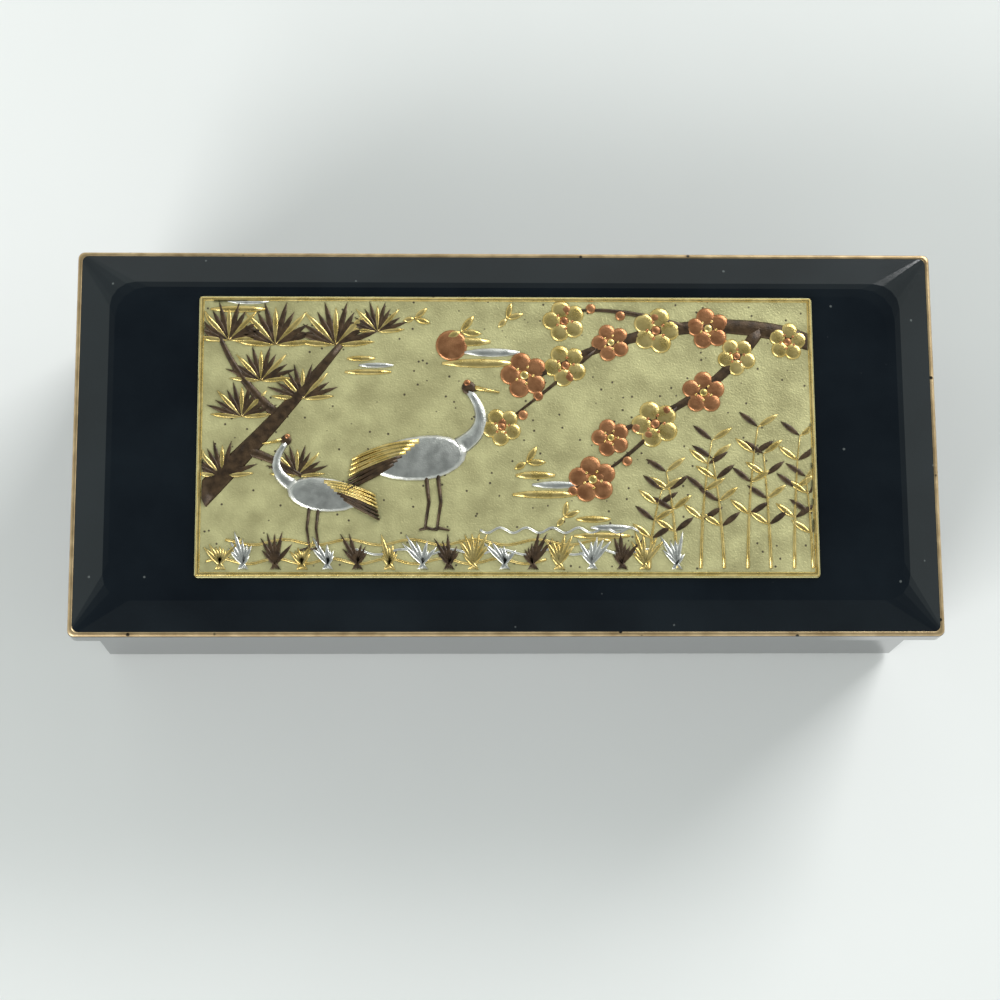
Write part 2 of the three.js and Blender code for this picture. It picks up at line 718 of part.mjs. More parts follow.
// The cast bedplate with its comb rest, bridge posts, inner train plate, rod guide and bosses
const bridgeBottom = axisHeight + 1.7;
const postX = bedBack + 1.9;
const postY = 5;
const postHalf = 1.7;
const pivotRadius = shaftRadius - 0.1;
function bedplate() {
  const sunk = bedThickness - 0.5;
  const width = bedFront - bedBack;
  const depth = bedDrumSide - bedCombSide;
  const plate = loft([roundedRing(width, depth, 3, 0), roundedRing(width, depth, 3, bedThickness)])
    .translate([(bedFront + bedBack) / 2, (bedDrumSide + bedCombSide) / 2, 0]);
  const rest = block(combStart - combMargin, combStart + combWidth + combMargin,
    combBack, combRoot, sunk, combBottom - resting);
  const posts = [-postY, postY].map((y) => block(postX - postHalf, postX + postHalf,
    y - postHalf, y + postHalf, sunk, bridgeBottom));
  const innerOutline = [[secondY - 2.2, sunk], [firstY + 2, sunk], [firstY + 2, firstZ + 1.4],
    [firstY - 1.6, firstZ + 3], [secondY - 2.2, secondZ + 1.7]];
  const innerPlate = cut(prismX(innerOutline, innerPlateStart, innerPlateStart + framePlate),
    barX(pinSweep + 0.35, innerPlateStart - 1, innerPlateStart + framePlate + 1, 0, axisHeight, 32));
  const pivotBoss = bar(1.7, sunk, bedThickness + 1.4, wormX, wormY, 12);
  const rodGuide = bar(1.6, sunk, fanBottom - 2, stopRodX, stopRodY, 16);
  const bosses = bedScrews.map(([x, y]) => bar(bedBossRadius, sunk, bedBossHeight, x, y, 16));
  const holes = [
    bar(windRadius + running, -1, bedThickness + 1, 0, 0, 20),
    bar(shaftRadius + running, bedThickness, bedThickness + 2, wormX, wormY, 10),
    bar(stopRodRadius + running, bedThickness + 2, fanBottom, stopRodX, stopRodY, 12),
    ...bedScrews.map(([x, y]) => bar(bedScrewRadius + running, -1, bedBossHeight - 0.8, x, y, 12)),
    ...combScrewXs.map((x) => bar(combScrewRadius + running, combBottom - 4, combBottom + 1, x, combScrewY, 12)),
    ...[-postY, postY].map((y) => bar(bridgeScrewRadius + running, bridgeBottom - 4, bridgeBottom + 1, postX, y, 12)),
    bar(clickPinRadius + running, -1, bedThickness + 1, clickPin[0], clickPin[1], 12),
    bar(frameScrewRadius + running, -1, bedThickness + 1, frameScrewX, frameScrewY, 12),
    ...[[firstY, firstZ], [secondY, secondZ]].map(([y, z]) => barX(pivotRadius + running,
      innerPlateStart - 1, innerPlateStart + framePlate + 1, y, z, 12)),
  ];
  return cut(join(plate, rest, innerPlate, pivotBoss, rodGuide, ...posts, ...bosses), ...holes);
}
const bridgeScrewRadius = 0.8;
const clickPinRadius = 0.9;
const frameScrewRadius = 0.8;
const frameScrewX = framePlateStart - 2;
const frameScrewY = 0.6;
piece('bedplate', bedplate(), castMetal, movement);

// Screws that hold the bedplate, driven up through the bottom board
bedScrews.forEach(([x, y], i) => {
  const head = 1.2;
  const length = head + boardThickness + bedBossHeight - 1.2;
  const body = screw(bedScrewRadius, bedScrewHead, head, length, false).rotate([180, 0, 0]);
  piece('bed_screw_' + 'abc'[i], body.translate([x, y, -boardThickness - head - resting]), steel, movement);
});

// The comb: its teeth shorten towards the treble, and the bass teeth carry tuning weights
function comb() {
  const x1 = combStart + combWidth;
  const slope = (longestTooth - shortestTooth) / combWidth;
  const rootAt = (x) => combRoot + (x - combStart) * slope;
  const outline = [[combStart - combMargin, combBack], [x1 + combMargin, combBack],
    [x1 + combMargin, rootAt(x1)], [combStart, rootAt(combStart)], [combStart - combMargin, combRoot]];
  const parts = [];
  for (let tooth = 0; tooth < toothCount; tooth++) {
    const x = combStart + tooth * toothPitch + toothSlot / 2;
    const half = toothThickness / 2;
    parts.push(block(x, x + toothPitch - toothSlot, rootAt(x) - 0.4, combTip, axisHeight - half, axisHeight + half));
    if (tooth < 6) {
      parts.push(block(x, x + toothPitch - toothSlot, combTip - 5.5 + tooth * 0.4, combTip - 2.2,
        axisHeight - half - 1.5 + tooth * 0.2, axisHeight - half + 0.1));
    }
  }
  const base = prism(outline, combBottom, combBottom + combBaseThickness);
  const holes = combScrewXs.map((x) => bar(combScrewRadius + running, 0, 40, x, combScrewY, 12));
  return cut(join(base, ...parts), ...holes);
}
piece('comb', comb(), steel, movement);
combScrewXs.forEach((x, i) => {
  const head = 1.1;
  const body = screw(combScrewRadius, combScrewHead, head, head + combBaseThickness + 3.4, false);
  const top = combBottom + combBaseThickness + head + resting;
  piece('comb_screw_' + 'ab'[i], body.translate([x, combScrewY, top]), steel, movement);
});

// The pinned cylinder: the pins of one turn, a melody over a slow bass
function pinnedCylinder() {
  const pins = [];
  const pin = (tooth, step) => {
    const x = combStart + (tooth + 0.5) * toothPitch;
    const half = pinWidth / 2;
    const upright = block(x - half, x + half, -half, half, cylinderRadius - 0.3, pinSweep);
    pins.push(upright.rotate([step * 360 / pinSteps, 0, 0]));
  };
  for (let step = 0; step < pinSteps; step++) {
    pin((step * 7 + 3 * Math.floor(step / 8)) % toothCount, step);
    if (step % 8 === 0) pin((step / 8 * 5) % 6, step + 0.5);
  }
  const drum = barX(cylinderRadius, drumStart, drumEnd, 0, 0, 48);
  const bore = barX(arborRadius + seat, drumStart - 1, drumEnd + 1, 0, 0, 16);
  return cut(join(drum, ...pins), bore).translate([0, 0, axisHeight]);
}
piece('pinned_cylinder', pinnedCylinder(), brass, movement);

// The arbor of the cylinder, with the pinion that the barrel's crown wheel drives
function cylinderArbor() {
  const pinionMiddle = crownModule * crownTeeth / 2;
  const pinion = layAlongX(prism(gearOutline(crownPinionTeeth, crownModule, { play: 0.16, phase: Math.PI / 2 * 3 }),
    pinionMiddle - crownFace / 2, pinionMiddle + crownFace / 2));
  const rod = barX(arborRadius, bearingStart + 0.2, framePlateStart - 0.4, 0, 0, 16);
  const pivot = barX(shaftRadius, bearingStart + 1, framePlateStart + framePlate, 0, 0, 16);
  return join(rod, pivot, pinion).translate([0, 0, axisHeight]);
}
const bearingStart = 4.6;
piece('cylinder_arbor', cylinderArbor(), steel, movement);

// A wheel about an axis along X at y, z, bored for its arbor.
function wheelX(outline, x0, x1, y, z, bore) {
  return cut(layAlongX(prism(outline, x0, x1)), barX(bore, x0 - 1, x1 + 1, 0, 0, 16)).translate([0, y, z]);
}

// Angle in a wheel's own plane, where the Y axis is at 0 and the Z axis at 90 degrees, that puts a
// tooth space of the driven pinion on the line of centres when the driver has a tooth there.
function meshing(teeth, direction) {
  return direction + Math.PI + Math.PI / teeth;
}
piece('cylinder_gear', wheelX(gearOutline(drumGearTeeth, drumGearModule, { phase: firstDirection }),
  drumGearStart, drumGearStart + drumGearFace, 0, axisHeight, arborRadius + seat), brass, movement);

// An arbor of the train with its pinion and two pivots
function pinionArbor(teeth, module, x0, x1, y, z, phase) {
  const outline = gearOutline(teeth, module, { shift: 0.2, addendum: 0.8, dedendum: 1.25, play: 0.14, phase, steps: 2 });
  const pinion = layAlongX(prism(outline, x0, x1));
  const rod = barX(shaftRadius, innerPlateStart + framePlate + clear, framePlateStart - clear, 0, 0, 12);
  const pivots = barX(pivotRadius, innerPlateStart, framePlateStart + framePlate, 0, 0, 12);
  return join(rod, pivots, pinion).translate([0, y, z]);
}
piece('first_arbor', pinionArbor(firstPinionTeeth, drumGearModule, drumGearStart, drumGearStart + drumGearFace,
  firstY, firstZ, meshing(firstPinionTeeth, firstDirection)), steel, movement);
piece('first_wheel', wheelX(gearOutline(firstWheelTeeth, firstWheelModule, { phase: secondDirection }),
  firstWheelStart, firstWheelStart + wheelFace, firstY, firstZ, shaftRadius + seat), brass, movement);
piece('second_arbor', pinionArbor(secondPinionTeeth, firstWheelModule, firstWheelStart, firstWheelStart + wheelFace,
  secondY, secondZ, meshing(secondPinionTeeth, secondDirection)), steel, movement);
piece('worm_wheel', wheelX(gearOutline(wormWheelTeeth, wormModule, { play: 0.16, phase: Math.PI }),
  wormWheelStart, wormWheelStart + wormWheelFace, secondY, secondZ, shaftRadius + seat), nylon, movement);

// The worm: a single thread drawn as a turned section, with a groove facing the wheel's tooth
function wormShaft() {
  const lead = Math.PI * wormModule;
  const stepsPerTurn = 16;
  const halfTip = 0.12;
  const halfFoot = 0.42;
  const tip = wormRadius + wormModule;
  const foot = wormRadius - 1.25 * wormModule;
  const corners = [[-halfFoot, foot], [-halfTip, tip], [halfTip, tip], [halfFoot, foot],
    [lead * 0.42, foot], [lead * 0.5, foot], [lead * 0.58, foot]];
  const rings = [];
  const start = -wormTurns * lead / 2;
  for (let step = 0; step <= wormTurns * stepsPerTurn; step++) {
    const turn = step / stepsPerTurn;
    const z = start + turn * lead;
    rings.push(corners.map(([along, radius]) => {
      const angle = Math.PI / 2 + 2 * Math.PI * (z / lead + 0.5 - along / lead);
      return [radius * Math.cos(angle), radius * Math.sin(angle), z];
    }).reverse());
  }
  const thread = ringsToSolid(rings.map((ring) => ring.map(([x, y, z]) => [x, z, y])))
    .transform([1, 0, 0, 0, 0, 0, 1, 0, 0, 1, 0, 0, 0, 0, 0, 1]);
  const shaft = bar(shaftRadius, bedThickness + 0.2 - secondZ, armBottom - 0.2 - secondZ, 0, 0, 12);
  const pivot = bar(0.4, 0, armTop - secondZ, 0, 0, 12);
  return join(thread, shaft, pivot).translate([wormX, wormY, secondZ]);
}
piece('worm', wormShaft(), steel, movement);

// The air brake: two wings on a hub, with the disc that the stop rod's finger acts on
function fan() {
  const hub = bar(1.2, fanBottom, brakeDiscTop, 0, 0, 16);
  const disc = bar(brakeDiscRadius, fanTop, brakeDiscTop, 0, 0, 24);
  const wings = block(-fanRadius, fanRadius, -0.2, 0.2, fanBottom, fanTop + 0.1);
  const bore = bar(shaftRadius + seat, fanBottom - 1, brakeDiscTop + 1, 0, 0, 12);
  return cut(join(hub, disc, wings), bore).rotate([0, 0, 35]).translate([wormX, wormY, 0]);
}
piece('fan', fan(), brass, movement);

// The governor's frame: an end plate for three arbors, an upright and an arm over the fan
function governorFrame() {
  const foot = bedThickness + resting;
  const plateTop = secondZ + 2.4;
  const uprightY = [stopRodY - 1.9, wormY - fanRadius - 0.5];
  const outline = [[uprightY[0], foot], [2.6, foot], [2.6, axisHeight + 1.8], [-2.6, axisHeight + 1.8],
    [firstY + 1, plateTop], [uprightY[1], plateTop], [uprightY[1], armTop], [uprightY[0], armTop]];
  const plate = prismX(outline, framePlateStart, framePlateStart + framePlate);
  const arm = prism([[framePlateStart, uprightY[0]], [framePlateStart + framePlate, uprightY[0]],
    [framePlateStart + framePlate, uprightY[1]], [wormX + 0.9, wormY + 0.8], [wormX - 0.6, wormY + 0.8],
    [wormX - 0.6, wormY - 0.8]], armBottom, armTop);
  const flange = block(frameScrewX - 2, framePlateStart + 0.5, -1.8, 2.6, foot, foot + framePlate);
  const holes = [
    barX(shaftRadius + running, framePlateStart - 1, framePlateStart + 3, 0, axisHeight, 12),
    barX(pivotRadius + running, framePlateStart - 1, framePlateStart + 3, firstY, firstZ, 12),
    barX(pivotRadius + running, framePlateStart - 1, framePlateStart + 3, secondY, secondZ, 12),
    bar(0.4 + running, armBottom - 1, armTop + 1, wormX, wormY, 12),
    bar(frameScrewRadius + running, 0, foot + 3, frameScrewX, frameScrewY, 12),
  ];
  return cut(join(plate, arm, flange), ...holes);
}
piece('governor_frame', governorFrame(), brass, movement);
piece('governor_screw', screw(frameScrewRadius, 1.5, 0.9, 3.4, false)
  .translate([frameScrewX, frameScrewY, bedThickness + framePlate + 0.9 + 2 * resting]), steel, movement);

// The stop rod: the closed lid presses it down, and its finger holds the brake disc
function stopRod() {
  const dx = wormX - stopRodX;
  const dy = wormY - stopRodY;
  const reach = Math.hypot(dx, dy) - brakeDiscRadius + 0.4;
  const finger = block(0, reach, -0.3, 0.3, brakeDiscTop + clear, brakeDiscTop + clear + 0.8)
    .rotate([0, 0, THREE.MathUtils.radToDeg(Math.atan2(dy, dx))]);
  const rod = bar(stopRodRadius, bedThickness + 2.4, stopRodTop - 0.8, 0, 0, 16);
  const button = bar(1.4, stopRodTop - 1, stopRodTop, 0, 0, 16);
  return join(rod, button, finger).translate([stopRodX, stopRodY, 0]);
}
piece('stop_rod', stopRod(), steel, movement);

// The spring barrel: a cup, the mainspring in it and a cover with the crown wheel's teeth
const crownPlane = axisHeight - crownPinionTeeth * crownModule / 2 - meshGap;
const coverTop = crownPlane - 1.25 * crownModule;
const coverUnderside = coverTop - barrelWall;
function springBarrel() {
  const cup = bar(barrelRadius, barrelLift, coverUnderside - resting, 0, 0, 48);
  const inside = bar(barrelRadius - barrelWall, barrelLift + barrelWall, coverTop, 0, 0, 48);
  return cut(cup, inside, bar(windRadius + running, 0, coverTop, 0, 0, 20));
}
function crownCover() {
  const disc = bar(barrelRadius, coverUnderside, coverTop, 0, 0, 48);
  const pitchRadius = crownTeeth * crownModule / 2;
  const foot = crownModule;
  const tip = crownModule * 0.25;
  const teeth = [];
  for (let tooth = 0; tooth < crownTeeth; tooth++) {
    const outline = [[-foot, coverTop - 0.2], [foot, coverTop - 0.2], [tip, crownPlane + crownModule],
      [-tip, crownPlane + crownModule]];
    const ridge = prismX(outline, pitchRadius - crownFace / 2, pitchRadius + crownFace / 2);
    teeth.push(ridge.rotate([0, 0, (tooth + 0.5) * 360 / crownTeeth]));
  }
  return cut(join(disc, ...teeth), bar(pivotTopRadius + running, 0, 40, 0, 0, 20));
}
const pivotTopRadius = 1.2;
function mainspring() {
  const inner = windRadius + 0.5;
  const outer = barrelRadius - barrelWall - 0.4;
  const count = springTurns * 20;
  const along = (offset) => Array.from({ length: count + 1 }, (_, i) => {
    const radius = inner + (outer - inner) * i / count + offset;
    const angle = 2 * Math.PI * springTurns * i / count;
    return [radius * Math.cos(angle), radius * Math.sin(angle)];
  });
  const gap = (outer - inner) / springTurns - springStrip;
  console.log('mainspring: least gap between its turns', gap.toFixed(2), 'mm');
  const outline = [...along(springStrip / 2), ...along(-springStrip / 2).reverse()];
  return prism(outline, barrelLift + barrelWall + clear, coverUnderside - clear);
}
piece('spring_barrel', springBarrel(), brass, movement);
piece('crown_cover', crownCover(), brass, movement);
piece('mainspring', mainspring(), steel, movement);

// The winding arbor, with the ratchet wheel and the key on it
const keyTop = -boardThickness - 1;
const arborBottom = keyTop - 4;
function windingArbor() {
  const lower = bar(windRadius, arborBottom, coverUnderside - clear, 0, 0, 20);
  const upper = bar(pivotTopRadius, 0, bridgeBottom + bridgeThickness, 0, 0, 20);
  return join(lower, upper);
}
const bridgeThickness = 1.8;
piece('winding_arbor', windingArbor(), steel, movement);

function ratchetWheel() {
  const outline = [];
  for (let tooth = 0; tooth < ratchetTeeth; tooth++) {
    const angle = tooth * 360 / ratchetTeeth;
    outline.push(polar(ratchetRadius, angle), polar(ratchetRadius - ratchetDepth, angle));
  }
  const bore = bar(windRadius + seat, 0, 9, 0, 0, 20);
  return cut(prism(outline, ratchetBottom, ratchetBottom + ratchetThickness), bore);
}
piece('ratchet_wheel', ratchetWheel(), steel, movement);

// The click: a pawl whose nose stands in the notch behind one of the wheel's steep faces
function click() {
  const inside = ratchetRadius - ratchetDepth;
  const at = (radius, degrees) => polar(radius, clickTooth + degrees);
  const pawl = prism([at(inside + 0.35, 3), at(ratchetRadius + 0.9, 2.5), at(clickPivot - 0.7, 10),
    at(clickPivot + 1.2, 42), at(clickPivot + 1.2, 54), at(clickPivot - 1.2, 54), at(ratchetRadius + 0.75, 25)],
  ratchetBottom, ratchetBottom + ratchetThickness);
  return join(pawl, bar(clickPinRadius, 0.2, ratchetBottom + ratchetThickness, clickPin[0], clickPin[1], 12));
}
piece('click', click(), steel, movement);

function windingKey() {
  const wing = loft([roundedRing(keySpan, keyHeight, 3.6, -keyThickness / 2),
    roundedRing(keySpan, keyHeight, 3.6, keyThickness / 2)]);
  const eyes = [-1, 1].map((side) => bar(1.8, -keyThickness, keyThickness, side * keySpan * 0.3, 0, 16));
  const upright = cut(wing, ...eyes).rotate([90, 0, 0]).translate([0, 0, keyTop - keyHeight / 2]);
  const hub = bar(keyHubRadius, keyTop - keyHeight + 1.5, keyTop, 0, 0, 24);
  const bore = bar(windRadius + seat, arborBottom - clear, keyTop + 1, 0, 0, 20);
  return cut(join(upright, hub), bore);
}
piece('winding_key', windingKey(), brass, movement);

// The bridge that spans the barrel and carries the inner bearing of the cylinder
function bridge() {
  const low = bridgeBottom + resting;
  const end = bearingStart + 2.6;
  const left = postX - postHalf;
  const side = postY + postHalf;
  const strap = prism([[left, -side], [left + 4.2, -side], [end, -2.2], [end, 2.2], [left + 4.2, side],
    [left, side]], low, bridgeBottom + bridgeThickness);
  const lug = block(bearingStart, end, -1.9, 1.9, axisHeight - 1.5, low + 0.4);
  const holes = [
    barX(arborRadius + running, bearingStart - 1, end + 1, 0, axisHeight, 16),
    bar(pivotTopRadius + running, low - 1, low + 4, 0, 0, 20),
    ...[-postY, postY].map((y) => bar(bridgeScrewRadius + running, low - 1, low + 4, postX, y, 12)),
  ];
  return cut(join(strap, lug), ...holes);
}
piece('bridge', bridge(), brass, movement);
[-postY, postY].forEach((y, i) => {
  const body = screw(bridgeScrewRadius, 1.5, 0.9, 0.9 + bridgeThickness + 3.4, false);
  const top = bridgeBottom + bridgeThickness + 0.9 + resting;
  piece('bridge_screw_' + 'ab'[i], body.translate([postX, y, top]), steel, movement);
});

export default musicBox;
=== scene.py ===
"""A black lacquered music box, closed, on a pale floor.

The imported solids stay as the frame. The scene gives them their finishes and adds the gold line, the
raised ornament on the plate, the velvet of the ring cushion and the felt pads. All sizes are in metres.
"""
import json
import math
import random

import bmesh
import bpy
from mathutils import Matrix, Vector


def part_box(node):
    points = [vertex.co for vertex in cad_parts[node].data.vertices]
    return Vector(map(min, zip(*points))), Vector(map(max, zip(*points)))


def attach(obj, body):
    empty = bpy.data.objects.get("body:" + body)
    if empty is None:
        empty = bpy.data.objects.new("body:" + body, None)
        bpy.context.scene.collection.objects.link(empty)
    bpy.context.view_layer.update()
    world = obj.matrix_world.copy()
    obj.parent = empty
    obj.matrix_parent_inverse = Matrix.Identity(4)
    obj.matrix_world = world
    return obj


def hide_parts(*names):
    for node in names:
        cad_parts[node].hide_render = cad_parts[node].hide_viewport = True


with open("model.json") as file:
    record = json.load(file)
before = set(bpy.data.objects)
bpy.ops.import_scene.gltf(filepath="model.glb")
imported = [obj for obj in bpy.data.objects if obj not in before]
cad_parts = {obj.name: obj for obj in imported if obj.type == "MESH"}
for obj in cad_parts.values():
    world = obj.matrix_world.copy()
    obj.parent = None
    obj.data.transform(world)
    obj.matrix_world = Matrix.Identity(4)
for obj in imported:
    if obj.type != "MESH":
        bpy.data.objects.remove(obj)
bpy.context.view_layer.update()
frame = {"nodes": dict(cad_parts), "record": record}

MM = 0.001

# Camera
# The photograph's own viewpoint: high over the lid and a little to the left, with a long lens.
camera_data = bpy.data.cameras.new("camera")
camera_data.lens = 91.44
camera_data.sensor_width = 36
camera_data.clip_start = 0.01
camera = bpy.data.objects.new("camera", camera_data)
bpy.context.collection.objects.link(camera)
forward = Vector((0.03222, 0.21312, -0.97649))
right = Vector((0.99948, -0.00615, 0.03163))
up = Vector((-0.00074, 0.97701, 0.21321))
camera.matrix_world = Matrix.Translation((-0.01918, -0.12903, 0.57993)) @ Matrix(
    (right, up, -forward)).transposed().to_4x4()
bpy.context.scene.camera = camera
bpy.context.scene.view_settings.view_transform = "Standard"

# Surroundings
# A pale plain floor, a sky that is white to the camera and darkens overhead, and two broad soft lamps.
FLOOR_HALF = 2
floor_mesh = bpy.data.meshes.new("floor")
floor_mesh.from_pydata([(-FLOOR_HALF, -FLOOR_HALF, 0), (FLOOR_HALF, -FLOOR_HALF, 0),
                        (FLOOR_HALF, FLOOR_HALF, 0), (-FLOOR_HALF, FLOOR_HALF, 0)], [], [(0, 1, 2, 3)])
floor = bpy.data.objects.new("floor", floor_mesh)
bpy.context.collection.objects.link(floor)

world = bpy.data.worlds.new("sky")
bpy.context.scene.world = world
world.use_nodes = True
sky = world.node_tree
sky_light = sky.nodes["Background"]
sky_light.inputs["Strength"].default_value = 1.0
sky_place = sky.nodes.new("ShaderNodeTexCoord")
sky_axes = sky.nodes.new("ShaderNodeSeparateXYZ")
sky_ramp = sky.nodes.new("ShaderNodeValToRGB")
sky_ramp.color_ramp.elements[0].position = 0.0
sky_ramp.color_ramp.elements[0].color = (0.95, 0.97, 0.96, 1)
sky_ramp.color_ramp.elements[1].position = 0.93
sky_ramp.color_ramp.elements[1].color = (0.045, 0.062, 0.066, 1)
sky_middle = sky_ramp.color_ramp.elements.new(0.72)
sky_middle.color = (0.42, 0.48, 0.45, 1)
sky.links.new(sky_place.outputs["Generated"], sky_axes.inputs[0])
sky.links.new(sky_axes.outputs["Z"], sky_ramp.inputs["Fac"])
sky.links.new(sky_ramp.outputs["Color"], sky_light.inputs["Color"])
sky_seen = sky.nodes.new("ShaderNodeBackground")
sky_seen.inputs["Color"].default_value = (1, 1, 1, 1)
sky_mix = sky.nodes.new("ShaderNodeMixShader")
light_path = sky.nodes.new("ShaderNodeLightPath")
sky.links.new(light_path.outputs["Is Camera Ray"], sky_mix.inputs[0])
sky.links.new(sky_light.outputs[0], sky_mix.inputs[1])
sky.links.new(sky_seen.outputs[0], sky_mix.inputs[2])
sky.links.new(sky_mix.outputs[0], sky.nodes["World Output"].inputs["Surface"])


def lamp(name, place, size, power):
    """A square soft lamp that looks at the middle of the box."""
    data = bpy.data.lights.new(name, "AREA")
    data.size = size
    data.energy = power
    obj = bpy.data.objects.new(name, data)
    obj.location = place
    obj.rotation_euler = (Vector((0, 0, 0.03)) - Vector(place)).to_track_quat("-Z", "Y").to_euler()
    bpy.context.collection.objects.link(obj)


lamp("lamp_back_right", (0.9, 1.1, 0.75), 0.9, 22)
lamp("lamp_front_left", (-0.8, -0.9, 0.6), 0.8, 14)


def material(name, colour, other, scale, rough=(0.3, 0.4), metal=0.0, bump=0.0, fine=None,
             stretch=(1, 1, 1)):
    """Two tones and two roughnesses mixed by noise, with a fine bump. Scales are in cycles per metre.

    It gives back the material, its nodes and links, its shader and the node that holds its tones.
    """
    made = bpy.data.materials.new(name)
    made.use_nodes = True
    nodes, links = made.node_tree.nodes, made.node_tree.links
    shader = nodes["Principled BSDF"]
    place = nodes.new("ShaderNodeTexCoord")
    mapping = nodes.new("ShaderNodeMapping")
    mapping.inputs["Scale"].default_value = stretch
    links.new(place.outputs["Object"], mapping.inputs["Vector"])
    noise = nodes.new("ShaderNodeTexNoise")
    noise.inputs["Scale"].default_value = scale
    noise.inputs["Detail"].default_value = 6
    links.new(mapping.outputs[0], noise.inputs["Vector"])
    tones = nodes.new("ShaderNodeValToRGB")
    tones.color_ramp.elements[0].position = 0.35
    tones.color_ramp.elements[0].color = (*colour, 1)
    tones.color_ramp.elements[1].position = 0.65
    tones.color_ramp.elements[1].color = (*other, 1)
    links.new(noise.outputs["Fac"], tones.inputs["Fac"])
    links.new(tones.outputs["Color"], shader.inputs["Base Color"])
    roughness = nodes.new("ShaderNodeMapRange")
    roughness.inputs["To Min"].default_value = rough[0]
    roughness.inputs["To Max"].default_value = rough[1]
    links.new(noise.outputs["Fac"], roughness.inputs["Value"])
    links.new(roughness.outputs["Result"], shader.inputs["Roughness"])
    shader.inputs["Metallic"].default_value = metal
    if bump:
        grain = nodes.new("ShaderNodeTexNoise")
        grain.inputs["Scale"].default_value = fine or scale * 6
        grain.inputs["Detail"].default_value = 3
        links.new(mapping.outputs[0], grain.inputs["Vector"])
        relief = nodes.new("ShaderNodeBump")
        relief.inputs["Strength"].default_value = bump
        relief.inputs["Distance"].default_value = 0.0002
        links.new(grain.outputs["Fac"], relief.inputs["Height"])
        links.new(relief.outputs["Normal"], shader.inputs["Normal"])
    return made, nodes, links, shader, tones


def add_specks(made, nodes, links, shader, tones, colour, scale, size):
    """Small sparse specks of another tone over a material's two; size is a share of a cell."""
    place = nodes.new("ShaderNodeTexCoord")
    cells = nodes.new("ShaderNodeTexVoronoi")
    cells.inputs["Scale"].default_value = scale
    links.new(place.outputs["Object"], cells.inputs["Vector"])
    sharp = nodes.new("ShaderNodeValToRGB")
    sharp.color_ramp.elements[0].position = size
    sharp.color_ramp.elements[0].color = (1, 1, 1, 1)
    sharp.color_ramp.elements[1].position = size * 1.6
    sharp.color_ramp.elements[1].color = (0, 0, 0, 1)
    links.new(cells.outputs["Distance"], sharp.inputs["Fac"])
    mix = nodes.new("ShaderNodeMix")
    mix.data_type = "RGBA"
    links.new(sharp.outputs["Color"], mix.inputs["Factor"])
    links.new(tones.outputs["Color"], mix.inputs["A"])
    mix.inputs["B"].default_value = (*colour, 1)
    links.new(mix.outputs["Result"], shader.inputs["Base Color"])


# Finishes
# The floor is matt; the lacquer is near black with dust in it; the metals carry a fine grain.
floor_paint = material("floor_paint", (0.80, 0.81, 0.80), (0.84, 0.85, 0.84), 6, (0.8, 0.9))[0]
floor_mesh.materials.append(floor_paint)

lacquer_parts = material("black_lacquer", (0.0035, 0.005, 0.008), (0.007, 0.010, 0.014), 45, (0.05, 0.13),
                         bump=0.02, fine=900)
add_specks(*lacquer_parts, colour=(0.10, 0.11, 0.11), scale=170, size=0.035)
lacquer_parts[3].inputs["Coat Weight"].default_value = 0.6
lacquer_parts[3].inputs["Coat Roughness"].default_value = 0.04
ground_parts = material("stippled_gold", (0.50, 0.46, 0.23), (0.68, 0.64, 0.33), 160, (0.36, 0.52), 0.55,
                        bump=0.5, fine=2600)
add_specks(*ground_parts, colour=(0.10, 0.08, 0.05), scale=420, size=0.08)
velvet_parts = material("red_velvet", (0.16, 0.008, 0.018), (0.24, 0.014, 0.03), 500, (0.85, 0.98),
                        bump=0.6, fine=5000)
velvet_parts[3].inputs["Sheen Weight"].default_value = 0.8
velvet_parts[3].inputs["Sheen Roughness"].default_value = 0.4
felt_parts = material("green_felt", (0.010, 0.018, 0.013), (0.025, 0.038, 0.030), 900, (0.9, 1.0),
                      bump=0.8, fine=4000)
clear_parts = material("clear_sheet", (0.90, 0.93, 0.94), (0.94, 0.96, 0.96), 30, (0.02, 0.06))
clear_parts[3].inputs["Transmission Weight"].default_value = 1.0
clear_parts[3].inputs["IOR"].default_value = 1.49
finishes = {
    "lacquer": lacquer_parts[0],
    "engraved_metal": ground_parts[0],
    "velvet": velvet_parts[0],
    "felt": felt_parts[0],
    "clear": clear_parts[0],
    "brass": material("turned_brass", (0.62, 0.42, 0.15), (0.74, 0.52, 0.22), 300, (0.24, 0.36), 1.0,
                      bump=0.15, fine=2500)[0],
    "steel": material("bright_steel", (0.50, 0.51, 0.53), (0.62, 0.63, 0.65), 400, (0.22, 0.34), 1.0,
                      bump=0.15, fine=3000, stretch=(1, 6, 1))[0],
    "cast_metal": material("cast_metal", (0.40, 0.41, 0.42), (0.52, 0.53, 0.54), 500, (0.48, 0.62), 0.9,
                           bump=0.6, fine=2200)[0],
    "silvered_glass": material("silvered_glass", (0.86, 0.88, 0.89), (0.90, 0.92, 0.93), 20,
                               (0.01, 0.03), 1.0)[0],
    "board": material("stained_board", (0.018, 0.014, 0.011), (0.045, 0.034, 0.027), 120, (0.6, 0.8),
                      bump=0.5, fine=500, stretch=(1, 14, 1))[0],
    "nylon": material("nylon", (0.78, 0.75, 0.66), (0.84, 0.81, 0.73), 200, (0.4, 0.5), bump=0.1)[0],
}
slot_of = {part["node"]: part["material_slot"] for part in frame["record"]["subparts"]}
for name, obj in frame["nodes"].items():
    obj.data.materials.clear()
    obj.data.materials.append(finishes[slot_of[name]])

